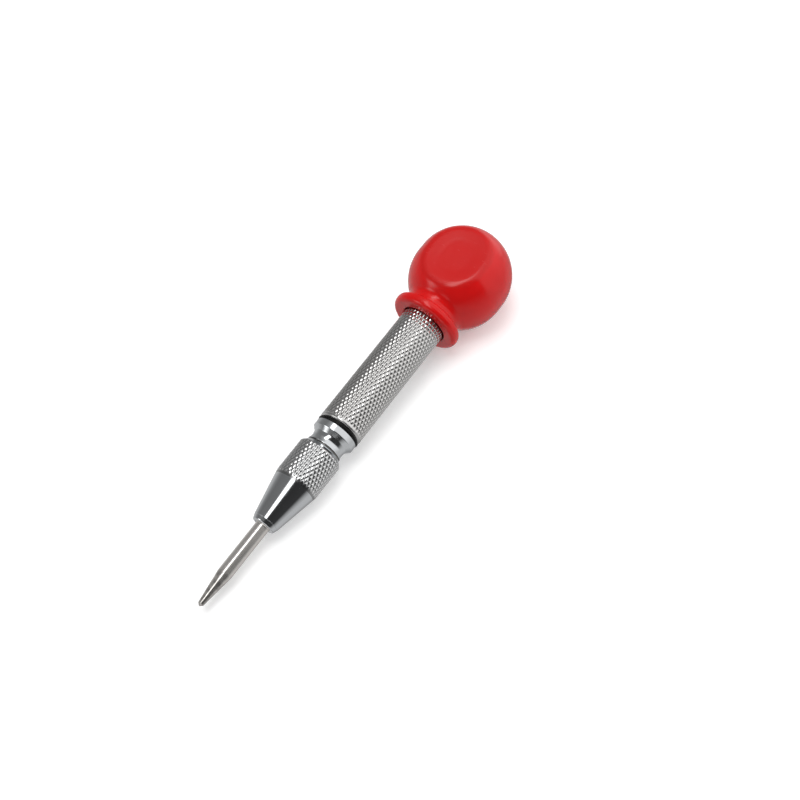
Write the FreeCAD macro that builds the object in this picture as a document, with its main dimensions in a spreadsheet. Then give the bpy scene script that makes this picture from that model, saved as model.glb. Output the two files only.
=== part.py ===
import FreeCAD, Part
import os
import Sketcher

# Automatic center punch, millimetres. Every outline is drawn with X along the tool axis, measured from the
# tip of the bit. to_row then moves each piece so that X = 0 is the middle of the length and Z = 0 is the knob's
# lower flat.

DOC = FreeCAD.newDocument("center_punch")
X_AXIS = FreeCAD.Vector(1, 0, 0)
Y_AXIS = FreeCAD.Vector(0, 1, 0)
ALONG_X = FreeCAD.Rotation(Y_AXIS, 90)

SIZES = {
    # punch bit
    "bit_reach": 25.7,  # tip to the front face of the nose
    "bit_radius": 2.0,
    "taper_length": 9.85,
    "point_length": 0.75,
    "point_radius": 0.82,
    "tail_radius": 2.2,  # the bit's thicker end, which the nose guides
    # nose cone
    "nose_lip_length": 1.3,
    "nose_lip_radius": 3.65,
    "nose_face_radius": 2.9,
    "nose_cone_length": 13.2,
    "nose_knurl_length": 9.6,
    "nose_chamfer_length": 1.3,
    "nose_rear_radius": 5.24,
    "nose_wall_length": 11.1,  # front face to the shoulder that stops the plunger
    # shared outside radius of the knurled pieces, and the running and thread fits
    "grip_radius": 6.35,
    "running_gap": 0.05,
    "loose_gap": 0.1,
    "seat_gap": 0.05,
    # washer between nose and body
    "washer_thickness": 0.5,
    "washer_radius": 5.05,
    # front body
    "nose_thread_radius": 4.45,
    "nose_thread_length": 8.6,
    "waist_radius": 5.1,
    "waist_length": 2.7,
    "waist_hollow": 3.3,  # radius of the hollow's section
    "waist_cone_length": 1.2,
    "collar_radius": 6.15,
    "collar_length": 1.9,
    "barrel_thread_radius": 5.25,
    "barrel_thread_length": 11.0,
    # O-ring
    "ring_section": 1.0,
    # plunger
    "plunger_head_radius": 3.4,
    "plunger_head_length": 10.0,
    "plunger_radius": 2.5,
    "bit_socket_depth": 7.0,
    "trip_pin_radius": 1.35,
    "strike_gap": 3.45,  # from the plunger's shoulder to the hammer that strikes it
    "stroke": 7.5,
    # return spring
    "return_length": 12.5,
    "return_wire": 0.5,
    "return_side_gap": 0.15,
    "return_turns": 7.0,
    "return_washer_thickness": 0.5,
    # barrel
    "barrel_length": 51.6,
    "barrel_chamfer": 0.5,
    "barrel_rear_radius": 6.1,  # the plain end that the knob covers
    "barrel_bore_radius": 5.3,
    "guide_bore_radius": 4.75,
    "cam_length": 2.0,
    "cam_margin": 1.5,  # how far before the end of the stroke the cone ends
    # hammer
    "hammer_length": 15.0,
    "slot_start": 2.5,
    "slot_length": 3.5,
    "slot_width": 6.0,
    "slot_floor": 2.5,
    "hammer_hole_depth": 9.0,
    "catch_offset": 0.5,
    # trip spring
    "trip_wire": 0.3,
    "trip_coil_radius": 0.65,
    "trip_turns": 3.0,
    "trip_pocket_depth": 1.5,
    # main spring, seat and adjuster
    "main_wire": 1.1,
    "main_side_gap": 0.65,
    "main_turns": 7.0,
    "seat_thickness": 1.5,
    "adjuster_radius": 5.05,
    "adjuster_engaged": 5.0,  # how much of its thread is in the barrel at rest
    "stud_radius": 3.0,
    "stud_length": 8.8,
    # knob
    "knob_overlap": 13.0,  # how much of the barrel the knob covers
    "knob_room": 2.2,  # behind the barrel, for screwing the knob in
    "knob_socket_radius": 6.55,
    "flange_section": 3.0,
    "flange_radius": 10.25,
    "neck_radius": 8.2,
    "ball_radius": 14.0,
    "ball_start": 17.0,  # flange face to the front centre of the ball
    "ball_middle": 2.0,  # straight length between the ball's two round halves
    "flat_height": 10.9,
    "dish_radius": 7.0,
    "dish_depth": 0.35,
    "insert_radius": 4.2,
    "insert_length": 9.3,
}

sheet = DOC.addObject("Spreadsheet::Sheet", "sizes")
for row, (alias, value) in enumerate(SIZES.items(), start=1):
    sheet.set(f"A{row}", alias.replace("_", " "))
    sheet.set(f"B{row}", str(value))
    sheet.setAlias(f"B{row}", alias)
DOC.recompute()


def size(words):
    """The sheet's expression for words such as 'bit_radius + seat_gap'."""
    marked = [f"sizes.{w}" if w in SIZES else w for w in words.replace("(", "( ").replace(")", " )").split()]
    return " ".join(marked)


def number(words):
    """What that expression comes to now, in millimetres."""
    value = sheet.evalExpression(size(words))
    return float(getattr(value, "Value", value))


# Stations along the tool axis, each from the tip.
NOSE_FACE = "bit_reach"
TAIL_START = f"{NOSE_FACE} - loose_gap"
NOSE_SHOULDER = f"{NOSE_FACE} + nose_wall_length"
LIP_END = f"{NOSE_FACE} + nose_lip_length"
CONE_END = f"{LIP_END} + nose_cone_length"
KNURL_END = f"{CONE_END} + nose_knurl_length"
NOSE_REAR = f"{KNURL_END} + nose_chamfer_length"
BODY_FACE = f"{NOSE_REAR} + washer_thickness"
NOSE_THREAD_START = f"{BODY_FACE} - nose_thread_length"
WAIST_END = f"{BODY_FACE} + waist_length"
COLLAR_START = f"{WAIST_END} + waist_cone_length"
COLLAR_END = f"{COLLAR_START} + collar_length"
BARREL_FACE = f"{COLLAR_END} + ring_section"
BODY_REAR = f"{BARREL_FACE} + barrel_thread_length"
BARREL_END = f"{BARREL_FACE} + barrel_length"
PLUNGER_FACE = f"{NOSE_SHOULDER} + 2 * loose_gap"
SOCKET_END = f"{PLUNGER_FACE} + bit_socket_depth"
HEAD_END = f"{PLUNGER_FACE} + plunger_head_length"
RETURN_WASHER = f"{HEAD_END} + return_length"
BODY_STEP = f"{RETURN_WASHER} + return_washer_thickness"
HAMMER_FACE = f"{BODY_REAR} + seat_gap"
PLUNGER_END = f"{HAMMER_FACE} - strike_gap"
SLOT_START = f"{HAMMER_FACE} + slot_start"
SLOT_END = f"{SLOT_START} + slot_length"
HAMMER_END = f"{HAMMER_FACE} + hammer_length"
CAM_END = f"{SLOT_END} + stroke - cam_margin"
CAM_START = f"{CAM_END} - cam_length"
ADJUSTER_FACE = f"{BARREL_END} - adjuster_engaged"
SEAT_REAR = f"{ADJUSTER_FACE} - seat_gap"
SEAT_FACE = f"{SEAT_REAR} - seat_thickness"
KNOB_FACE = f"{BARREL_END} - knob_overlap"
KNURL_REAR = f"{KNOB_FACE} - loose_gap"
SOCKET_FLOOR = f"{BARREL_END} + knob_room"
ADJUSTER_END = f"{SOCKET_FLOOR} - seat_gap"
STUD_END = f"{ADJUSTER_END} + stud_length"
BALL_FRONT = f"{KNOB_FACE} + ball_start"
BALL_REAR = f"{BALL_FRONT} + ball_middle"
TOTAL = f"{BALL_REAR} + ball_radius"

# Radii that two or more pieces share.
PLUNGER_BORE = "plunger_head_radius + loose_gap"
TRIP_HOLE = "trip_pin_radius + loose_gap + running_gap"
HAMMER_RADIUS = "guide_bore_radius - loose_gap"
MAIN_COIL_RADIUS = "guide_bore_radius - main_side_gap - main_wire / 2"
RETURN_COIL_RADIUS = "plunger_head_radius - return_side_gap - return_wire / 2"


def set_size(thing, prop, words):
    thing.setExpression(prop, size(words))


def to_row(piece):
    """Puts a piece drawn from the tip into the part's own frame."""
    set_size(piece, "Placement.Base.x", f"0 - ( {TOTAL} ) / 2")
    set_size(piece, "Placement.Base.z", "flat_height")
    return piece


def origin_part(body, role):
    """One of a body's own origin planes or axes."""
    return next(f for f in body.Origin.OriginFeatures if f.Role == role)


def pin_point(sketch, index, end, x_words, y_words):
    """Ties a corner of a sketch to its two sizes. A corner at 0 lies on the sketch's own axis."""
    for kind, words, axis in (("DistanceX", x_words, -2), ("DistanceY", y_words, -1)):
        if words == "0":
            sketch.addConstraint(Sketcher.Constraint("PointOnObject", index, end, axis))
        else:
            at = sketch.addConstraint(Sketcher.Constraint(kind, -1, 1, index, end, number(words)))
            set_size(sketch, f"Constraints[{at}]", words)


def arc_between(start, end, radius):
    """The shorter arc from start to end. A positive radius bulges to the left of the way it runs."""
    chord = end - start
    middle = (start + end) / 2
    left = FreeCAD.Vector(-chord.y, chord.x, 0).normalize()
    depth = max(radius * radius - chord.Length**2 / 4, 0) ** 0.5
    bulge = abs(radius) - depth
    through = middle + left * (bulge if radius > 0 else -bulge)
    return Part.Arc(start, through, end)


def closed_outline(sketch, points):
    """Draws points as a closed outline. Each is (x, y) or (x, y, radius), where radius bends the side after it."""
    places = [FreeCAD.Vector(number(p[0]), number(p[1]), 0) for p in points]
    made = []
    for i, point in enumerate(points):
        start, end = places[i], places[(i + 1) % len(points)]
        if len(point) == 2:
            made.append((sketch.addGeometry(Part.LineSegment(start, end), False), 1, 2))
            continue
        sign = -1 if point[2].startswith("-") else 1
        arc = arc_between(start, end, sign * number(point[2].lstrip("-")))
        index = sketch.addGeometry(arc, False)
        ends = (1, 2) if sketch.Geometry[index].StartPoint.distanceToPoint(start) < 1e-6 else (2, 1)
        made.append((index, *ends))
        bend = sketch.addConstraint(Sketcher.Constraint("Radius", index, number(point[2].lstrip("-"))))
        set_size(sketch, f"Constraints[{bend}]", point[2].lstrip("-"))
    for i, (index, start, end) in enumerate(made):
        following, next_start, _ = made[(i + 1) % len(made)]
        sketch.addConstraint(Sketcher.Constraint("Coincident", index, end, following, next_start))
        pin_point(sketch, index, start, points[i][0], points[i][1])


def new_sketch(body, name, role):
    sketch = body.newObject("Sketcher::SketchObject", name)
    sketch.AttachmentSupport = [(origin_part(body, role), "")]
    sketch.MapMode = "FlatFace"
    return sketch


def turned(label, points):
    """A lathe-turned body: the outline is spun about the tool axis."""
    body = DOC.addObject("PartDesign::Body", label)
    body.Label = label
    sketch = new_sketch(body, f"{label}_outline", "XY_Plane")
    closed_outline(sketch, points)
    spin = body.newObject("PartDesign::Revolution", f"{label}_spin")
    spin.Profile = sketch
    spin.ReferenceAxis = (origin_part(body, "X_Axis"), [""])
    spin.Angle = 360
    body.Tip = spin
    return to_row(body)


def pocket_from_top(body, name, corners, depth):
    """Cuts a pocket down from Z = 0 through the top of the body, given two opposite corners in X and Y."""
    (x0, y0), (x1, y1) = corners
    sketch = new_sketch(body, f"{name}_sketch", "XY_Plane")
    set_size(sketch, "AttachmentOffset.Base.z", f"0 - {depth}")
    closed_outline(sketch, [(x0, y0), (x1, y0), (x1, y1), (x0, y1)])
    cut = body.newObject("PartDesign::Pocket", name)
    cut.Profile = sketch
    cut.Type = "ThroughAll"
    cut.Reversed = True
    body.Tip = cut
    return cut


def rod(name, start, end, radius):
    """A cylinder along the tool axis."""
    cylinder = DOC.addObject("Part::Cylinder", name)
    set_size(cylinder, "Radius", radius)
    set_size(cylinder, "Height", f"( {end} ) - ( {start} )")
    cylinder.Placement.Rotation = ALONG_X
    set_size(cylinder, "Placement.Base.x", start)
    return cylinder


def block(name, x, width, low, high):
    """A box, given its two ends in X, its width across Y and its two heights."""
    box = DOC.addObject("Part::Box", name)
    set_size(box, "Length", f"( {x[1]} ) - ( {x[0]} )")
    set_size(box, "Width", width)
    set_size(box, "Height", f"( {high} ) - ( {low} )")
    set_size(box, "Placement.Base.x", x[0])
    set_size(box, "Placement.Base.y", f"0 - ( {width} ) / 2")
    set_size(box, "Placement.Base.z", low)
    return box


def joined(kind, name, base, tool):
    """A boolean of two objects: kind is Cut, Fuse or Common."""
    made = DOC.addObject(f"Part::{kind}", name)
    made.Base = base
    made.Tool = tool
    return made


def coil_spring(label, length, turns, coil_radius, wire):
    """A round-wire compression spring that stands on its own origin and reaches length along Z."""
    helix = DOC.addObject("Part::Helix", f"{label}_line")
    set_size(helix, "Height", f"( {length} ) - {wire}")
    set_size(helix, "Pitch", f"( ( {length} ) - {wire} ) / {turns}")
    set_size(helix, "Radius", coil_radius)
    helix.Angle = 0
    helix.SegmentLength = 0
    section = DOC.addObject("Part::Circle", f"{label}_section")
    set_size(section, "Radius", f"{wire} / 2")
    section.Placement.Rotation = FreeCAD.Rotation(X_AXIS, 90)
    set_size(section, "Placement.Base.x", coil_radius)
    sweep = DOC.addObject("Part::Sweep", label)
    sweep.Sections = [section]
    sweep.Spine = (helix, ["Edge1"])
    sweep.Solid = True
    sweep.Frenet = True
    sweep.Label = label
    return sweep


def spring_along_x(label, ends, turns, coil_radius, wire):
    """A spring between two stations of the tool axis, its wire clear of both seats."""
    start, end = ends
    spring = coil_spring(label, f"( {end} ) - ( {start} ) - 2 * seat_gap", turns, coil_radius, wire)
    spring.Placement.Rotation = ALONG_X
    set_size(spring, "Placement.Base.x", f"{start} + seat_gap + {wire} / 2 - ( {TOTAL} ) / 2")
    set_size(spring, "Placement.Base.z", "flat_height")
    return spring


def washer(label, start, thickness, inner, outer):
    end = f"{start} + {thickness}"
    return turned(label, [(start, inner), (start, outer), (end, outer), (end, inner)])


# Punch: the replaceable bit and the plunger that carries it.
def punch_bit():
    tail_end = f"{SOCKET_END} - seat_gap"
    return turned(
        "punch_bit",
        [
            ("0", "0"),
            ("point_length", "point_radius"),
            ("taper_length", "bit_radius"),
            (TAIL_START, "bit_radius"),
            (TAIL_START, "tail_radius"),
            (tail_end, "tail_radius"),
            (tail_end, "0"),
        ],
    )


def plunger():
    socket_radius = "tail_radius + running_gap"
    return turned(
        "plunger",
        [
            (PLUNGER_FACE, socket_radius),
            (PLUNGER_FACE, "plunger_head_radius"),
            (HEAD_END, "plunger_head_radius"),
            (HEAD_END, "plunger_radius"),
            (PLUNGER_END, "plunger_radius"),
            (PLUNGER_END, "trip_pin_radius"),
            (SLOT_START, "trip_pin_radius"),
            (SLOT_START, "0"),
            (SOCKET_END, "0"),
            (SOCKET_END, socket_radius),
        ],
    )


# Nose: cone nut and its washer.
def nose_cone():
    thread_radius = "nose_thread_radius + running_gap"
    thread_start = f"{NOSE_THREAD_START} - 2 * loose_gap"
    bit_hole = "tail_radius + loose_gap"
    return turned(
        "nose_cone",
        [
            (NOSE_FACE, bit_hole),
            (NOSE_FACE, "nose_face_radius"),
            (LIP_END, "nose_lip_radius"),
            (CONE_END, "grip_radius"),
            (KNURL_END, "grip_radius"),
            (NOSE_REAR, "nose_rear_radius"),
            (NOSE_REAR, thread_radius),
            (thread_start, thread_radius),
            (thread_start, PLUNGER_BORE),
            (NOSE_SHOULDER, PLUNGER_BORE),
            (NOSE_SHOULDER, bit_hole),
        ],
    )


def nose_washer():
    inner = "nose_thread_radius + running_gap"
    return washer("nose_washer", NOSE_REAR, "washer_thickness", inner, "washer_radius")


# Housing: front body, O-ring and barrel.
def front_body():
    guide_radius = "plunger_radius + running_gap"
    return turned(
        "front_body",
        [
            (NOSE_THREAD_START, PLUNGER_BORE),
            (NOSE_THREAD_START, "nose_thread_radius"),
            (BODY_FACE, "nose_thread_radius"),
            (BODY_FACE, "waist_radius", "-waist_hollow"),
            (WAIST_END, "waist_radius"),
            (COLLAR_START, "collar_radius"),
            (COLLAR_END, "collar_radius"),
            (COLLAR_END, "barrel_thread_radius"),
            (BODY_REAR, "barrel_thread_radius"),
            (BODY_REAR, guide_radius),
            (BODY_STEP, guide_radius),
            (BODY_STEP, PLUNGER_BORE),
        ],
    )


def return_washer():
    inner = "plunger_radius + loose_gap"
    return washer("return_washer", RETURN_WASHER, "return_washer_thickness", inner, "plunger_head_radius")


def return_spring():
    ends = (HEAD_END, RETURN_WASHER)
    return spring_along_x("return_spring", ends, "return_turns", RETURN_COIL_RADIUS, "return_wire")


def o_ring():
    ring = DOC.addObject("Part::Torus", "o_ring")
    ring.Label = "o_ring"
    set_size(ring, "Radius1", "grip_radius - ring_section / 2")
    set_size(ring, "Radius2", "ring_section / 2 - seat_gap / 2")
    ring.Placement.Rotation = ALONG_X
    set_size(ring, "Placement.Base.x", f"{COLLAR_END} + ring_section / 2 - ( {TOTAL} ) / 2")
    set_size(ring, "Placement.Base.z", "flat_height")
    return ring


def barrel():
    thread_start = f"{ADJUSTER_FACE} - knob_room - 3 * loose_gap"
    thread_radius = "adjuster_radius + running_gap"
    return turned(
        "barrel",
        [
            (BARREL_FACE, "barrel_bore_radius"),
            (BARREL_FACE, "grip_radius - barrel_chamfer"),
            (f"{BARREL_FACE} + barrel_chamfer", "grip_radius"),
            (KNURL_REAR, "grip_radius"),
            (KNURL_REAR, "barrel_rear_radius"),
            (f"{BARREL_END} - barrel_chamfer", "barrel_rear_radius"),
            (BARREL_END, "barrel_rear_radius - barrel_chamfer"),
            (BARREL_END, thread_radius),
            (thread_start, thread_radius),
            (thread_start, "guide_bore_radius"),
            (CAM_END, "guide_bore_radius"),
            (CAM_START, "barrel_bore_radius"),
        ],
    )


# Hammer with its cross slide and the slide's spring.
def hammer():
    hole_end = f"{HAMMER_FACE} + hammer_hole_depth"
    body = turned(
        "hammer",
        [
            (HAMMER_FACE, TRIP_HOLE),
            (HAMMER_FACE, HAMMER_RADIUS),
            (HAMMER_END, HAMMER_RADIUS),
            (HAMMER_END, "0"),
            (hole_end, "0"),
            (hole_end, TRIP_HOLE),
        ],
    )
    DOC.recompute()
    half = "slot_width / 2"
    pocket_from_top(body, "hammer_slot", ((SLOT_START, f"0 - {half}"), (SLOT_END, half)), "slot_floor")
    DOC.recompute()
    sketch = new_sketch(body, "spring_pocket_sketch", "XY_Plane")
    set_size(sketch, "AttachmentOffset.Base.z", "0 - slot_floor")
    place = FreeCAD.Vector(number(f"{SLOT_START} + slot_length / 2"), 0, 0)
    round_radius = "trip_coil_radius + trip_wire / 2 + loose_gap"
    circle = sketch.addGeometry(Part.Circle(place, FreeCAD.Vector(0, 0, 1), number(round_radius)), False)
    pin_point(sketch, circle, 3, f"{SLOT_START} + slot_length / 2", "0")
    bend = sketch.addConstraint(Sketcher.Constraint("Radius", circle, number(round_radius)))
    set_size(sketch, f"Constraints[{bend}]", round_radius)
    pocket = body.newObject("PartDesign::Pocket", "spring_pocket")
    pocket.Profile = sketch
    set_size(pocket, "Length", "trip_pocket_depth")
    body.Tip = pocket
    return body


def trip_slide():
    """Made centred, then lifted by the catch offset that the trip spring gives it at rest."""
    ends = (f"{SLOT_START} + seat_gap", f"{SLOT_END} - seat_gap")
    round_side = rod("trip_round", *ends, f"{HAMMER_RADIUS} - running_gap")
    sides = block("trip_sides", ends, "slot_width - 2 * running_gap", "0 - slot_floor + loose_gap", "ball_radius")
    blank = joined("Common", "trip_blank", round_side, sides)
    hole = rod("trip_hole", *ends, TRIP_HOLE)
    slide = joined("Cut", "trip_slide", blank, hole)
    slide.Label = "trip_slide"
    set_size(slide, "Placement.Base.x", f"0 - ( {TOTAL} ) / 2")
    set_size(slide, "Placement.Base.z", "flat_height + catch_offset")
    return slide


def trip_spring():
    length = "trip_pocket_depth + loose_gap + catch_offset - 2 * seat_gap"
    spring = coil_spring("trip_spring", length, "trip_turns", "trip_coil_radius", "trip_wire")
    bottom = "flat_height - slot_floor - trip_pocket_depth + seat_gap + trip_wire / 2"
    set_size(spring, "Placement.Base.x", f"{SLOT_START} + slot_length / 2 - ( {TOTAL} ) / 2")
    set_size(spring, "Placement.Base.z", bottom)
    return spring


def main_spring():
    ends = (HAMMER_END, SEAT_FACE)
    return spring_along_x("main_spring", ends, "main_turns", MAIN_COIL_RADIUS, "main_wire")


# Adjuster: seat, screw, insert and knob.
def spring_seat():
    spigot = f"{MAIN_COIL_RADIUS} - main_wire / 2 - loose_gap"
    front = f"{SEAT_FACE} - seat_thickness"
    return turned(
        "spring_seat",
        [
            (front, "0"),
            (front, spigot),
            (SEAT_FACE, spigot),
            (SEAT_FACE, HAMMER_RADIUS),
            (SEAT_REAR, HAMMER_RADIUS),
            (SEAT_REAR, "0"),
        ],
    )


def adjuster_screw():
    return turned(
        "adjuster_screw",
        [
            (ADJUSTER_FACE, "0"),
            (ADJUSTER_FACE, "adjuster_radius"),
            (ADJUSTER_END, "adjuster_radius"),
            (ADJUSTER_END, "stud_radius"),
            (STUD_END, "stud_radius"),
            (STUD_END, "0"),
        ],
    )


def knob_insert():
    end = f"{SOCKET_FLOOR} + insert_length"
    hole = "stud_radius + running_gap"
    hole_end = f"{STUD_END} + seat_gap"
    return turned(
        "knob_insert",
        [
            (SOCKET_FLOOR, hole),
            (SOCKET_FLOOR, "insert_radius"),
            (end, "insert_radius"),
            (end, "0"),
            (hole_end, "0"),
            (hole_end, hole),
        ],
    )


def finger_flat(knob, name, side):
    """Cuts one flat and its shallow dish. side is 1 for the top and -1 for the bottom."""
    high = ("flat_height", "2 * ball_radius") if side > 0 else ("0 - 2 * ball_radius", "0 - flat_height")
    slab = block(f"{name}_slab", (f"{BALL_FRONT} - ball_radius", TOTAL), "3 * ball_radius", *high)
    flat = joined("Cut", f"{name}_flat", knob, slab)
    dish = DOC.addObject("Part::Cone", f"{name}_dish")
    set_size(dish, "Radius1", "dish_radius / 2")
    set_size(dish, "Radius2", "dish_radius")
    set_size(dish, "Height", "dish_depth")
    dish.Placement.Rotation = FreeCAD.Rotation(X_AXIS, 0 if side > 0 else 180)
    set_size(dish, "Placement.Base.x", f"{BALL_FRONT} + ball_middle / 2")
    set_size(dish, "Placement.Base.z", f"{side} * ( flat_height - dish_depth )")
    return joined("Cut", f"{name}_side", flat, dish)


def knob():
    """The moulded ball: two half balls with a straight between, a neck, a round flange and two flats."""
    front = DOC.addObject("Part::Sphere", "ball_front")
    rear = DOC.addObject("Part::Sphere", "ball_rear")
    for ball, x in ((front, BALL_FRONT), (rear, BALL_REAR)):
        set_size(ball, "Radius", "ball_radius")
        set_size(ball, "Placement.Base.x", x)
        ball.Placement.Rotation = ALONG_X
    flange = DOC.addObject("Part::Torus", "flange_round")
    set_size(flange, "Radius1", "flange_radius - flange_section / 2")
    set_size(flange, "Radius2", "flange_section / 2")
    flange.Placement.Rotation = ALONG_X
    set_size(flange, "Placement.Base.x", f"{KNOB_FACE} + flange_section / 2")
    flange_end = f"{KNOB_FACE} + flange_section"
    pieces = (
        rear,
        rod("ball_middle_part", BALL_FRONT, BALL_REAR, "ball_radius"),
        rod("neck", KNOB_FACE, BALL_FRONT, "neck_radius"),
        rod("flange_disc", KNOB_FACE, flange_end, "flange_radius - flange_section / 2"),
        flange,
    )
    solid = front
    for count, piece in enumerate(pieces, start=1):
        solid = joined("Fuse", f"knob_blank_{count}", solid, piece)
    socket = rod("knob_socket", KNOB_FACE, SOCKET_FLOOR, "knob_socket_radius")
    insert_end = f"{SOCKET_FLOOR} + insert_length + seat_gap"
    pocket = rod("insert_pocket", SOCKET_FLOOR, insert_end, "insert_radius + seat_gap")
    solid = joined("Cut", "knob_socketed", solid, socket)
    solid = joined("Cut", "knob_bored", solid, pocket)
    solid = finger_flat(solid, "upper", 1)
    solid = finger_flat(solid, "lower", -1)
    solid.Label = "knob"
    return to_row(solid)


PIECES = [
    punch_bit(),
    plunger(),
    nose_cone(),
    nose_washer(),
    front_body(),
    return_washer(),
    return_spring(),
    o_ring(),
    barrel(),
    hammer(),
    trip_slide(),
    trip_spring(),
    main_spring(),
    spring_seat(),
    adjuster_screw(),
    knob_insert(),
    knob(),
]
DOC.recompute()

for thing in DOC.Objects:
    if "Invalid" in thing.State or "Error" in thing.State:
        raise RuntimeError(f"{thing.Label} did not compute: {thing.State}")
for piece in PIECES:
    if piece.Shape.isNull() or not piece.Shape.isValid() or not piece.Shape.Solids:
        raise RuntimeError(f"{piece.Label} has no valid solid")

os.makedirs("parts", exist_ok=True)
for piece in PIECES:
    piece.Shape.exportStep(f"parts/{piece.Label}.step")
    box = piece.Shape.optimalBoundingBox()
    print(
        f"{piece.Label:16s} {len(piece.Shape.Solids)} solid {piece.Shape.Volume:9.2f} mm3"
        f"  x {box.XMin:7.2f} {box.XMax:7.2f}  y {box.YMin:6.2f} {box.YMax:6.2f}"
        f"  z {box.ZMin:6.2f} {box.ZMax:6.2f}"
    )
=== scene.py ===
"""Automatic center punch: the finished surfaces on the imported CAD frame. Metres, +X from point to knob."""

import math

import bmesh
import bpy
import numpy as np
from mathutils import Matrix, Vector


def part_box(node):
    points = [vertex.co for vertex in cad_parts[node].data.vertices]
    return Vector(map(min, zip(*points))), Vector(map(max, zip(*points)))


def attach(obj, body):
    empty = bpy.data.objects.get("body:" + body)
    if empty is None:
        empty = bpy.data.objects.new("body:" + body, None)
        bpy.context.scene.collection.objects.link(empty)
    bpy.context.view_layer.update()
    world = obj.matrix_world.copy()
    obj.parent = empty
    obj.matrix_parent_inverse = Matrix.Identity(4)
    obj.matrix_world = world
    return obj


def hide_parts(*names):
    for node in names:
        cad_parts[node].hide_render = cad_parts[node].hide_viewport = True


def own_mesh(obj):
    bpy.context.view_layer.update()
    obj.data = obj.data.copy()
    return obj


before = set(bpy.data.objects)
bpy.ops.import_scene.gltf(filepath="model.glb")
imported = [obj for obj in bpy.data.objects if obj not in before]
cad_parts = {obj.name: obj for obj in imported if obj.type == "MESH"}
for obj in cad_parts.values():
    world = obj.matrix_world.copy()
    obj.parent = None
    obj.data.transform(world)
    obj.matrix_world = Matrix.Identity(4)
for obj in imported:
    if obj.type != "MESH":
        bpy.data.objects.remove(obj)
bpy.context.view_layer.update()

MM = 0.001
FULL_TURN = 2 * math.pi
WELD_DISTANCE = 0.5e-6  # metres, as is the next
SLIVER_LENGTH = 0.2e-6
SEGMENTS = 192  # round the nose, front body and barrel
ON_AXIS = 1e-6  # a radius under this, in millimetres, lies on the axis

# ---------------------------------------------------------------- places, in millimetres


def station(node, end):
    """X of a node's front (end 0) or rear (end 1) face."""
    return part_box(node)[end].x / MM


def half_width(node):
    lo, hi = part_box(node)
    return (hi.y - lo.y) / 2 / MM


TIP_X, BIT_REAR = station("punch_bit", 0), station("punch_bit", 1)
NOSE_X, NOSE_REAR = station("nose_cone", 0), station("nose_cone", 1)
WASHER_X, WASHER_REAR = station("nose_washer", 0), station("nose_washer", 1)
BODY_X, BODY_REAR = station("front_body", 0), station("front_body", 1)
BARREL_X, BARREL_REAR = station("barrel", 0), station("barrel", 1)
KNOB_X, KNOB_REAR = station("knob", 0), station("knob", 1)
RETURN_SEAT_X = station("return_washer", 1)

AXIS_Z = sum(corner.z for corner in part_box("barrel")) / 2  # height of the tool's axis, in metres
GRIP_RADIUS = half_width("barrel")
BALL_RADIUS = half_width("knob")
FLAT_HEIGHT = AXIS_Z / MM  # of the knob's flats from the axis
BALL_FRONT_X = KNOB_X + 17  # the ball is two half balls round these centres, with a short drum between them
BALL_REAR_X = KNOB_REAR - BALL_RADIUS
CONE_END = NOSE_X + 14.5  # where the nose reaches its full width
KNOB_IN = 2.0  # how far the knob screws in from where it is at rest

# ---------------------------------------------------------------- mesh helpers


class Shell:
    """A mesh of rings round the tool's axis, in millimetres, joined one to the next."""

    def __init__(self):
        self.points, self.faces, self.knurled = [], [], range(0)

    def add(self, x, radius, angles):
        """A ring. x and radius are numbers or one value for each angle."""
        x, radius, angles = np.broadcast_arrays(x, radius, angles)
        first = len(self.points)
        self.points.extend(zip(x, radius * np.cos(angles), radius * np.sin(angles)))
        return list(range(first, first + len(angles))), np.asarray(angles)

    def join(self, near, far):
        """Fills between two rings, each (indices, rising angles). Their numbers of points may differ."""
        (a, angle_a), (b, angle_b) = near, far
        if len(a) == len(b) and np.allclose(angle_a, angle_b):
            for i in range(len(a)):
                k = (i + 1) % len(a)
                self.faces.append((a[i], a[k], b[k], b[i]))
            return
        next_a = np.append(angle_a[1:], angle_a[0] + FULL_TURN)
        next_b = np.append(angle_b[1:], angle_b[0] + FULL_TURN)
        i = j = 0
        while i < len(a) or j < len(b):
            here_a, here_b = a[i % len(a)], b[j % len(b)]
            if j >= len(b) or (i < len(a) and next_a[i] <= next_b[j]):
                self.faces.append((here_a, a[(i + 1) % len(a)], here_b))
                i += 1
            else:
                self.faces.append((here_a, b[(j + 1) % len(b)], here_b))
                j += 1

    def close(self, ring, x):
        """Closes a ring with a point on the axis."""
        self.points.append((x, 0.0, 0.0))
        centre, ids = len(self.points) - 1, ring[0]
        for i, here in enumerate(ids):
            self.faces.append((here, ids[(i + 1) % len(ids)], centre))

    def spin(self, outline, segments):
        """Spins (x, radius) points and joins the rings in turn. Returns the first and last ring."""
        angles = np.arange(segments) * FULL_TURN / segments
        rings = [self.add(x, r, angles) for x, r in outline]
        for near, far in zip(rings, rings[1:]):
            self.join(near, far)
        return rings[0], rings[-1]


def linked(name, data):
    """A new object in the scene."""
    made = bpy.data.objects.new(name, data)
    bpy.context.scene.collection.objects.link(made)
    return made


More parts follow.
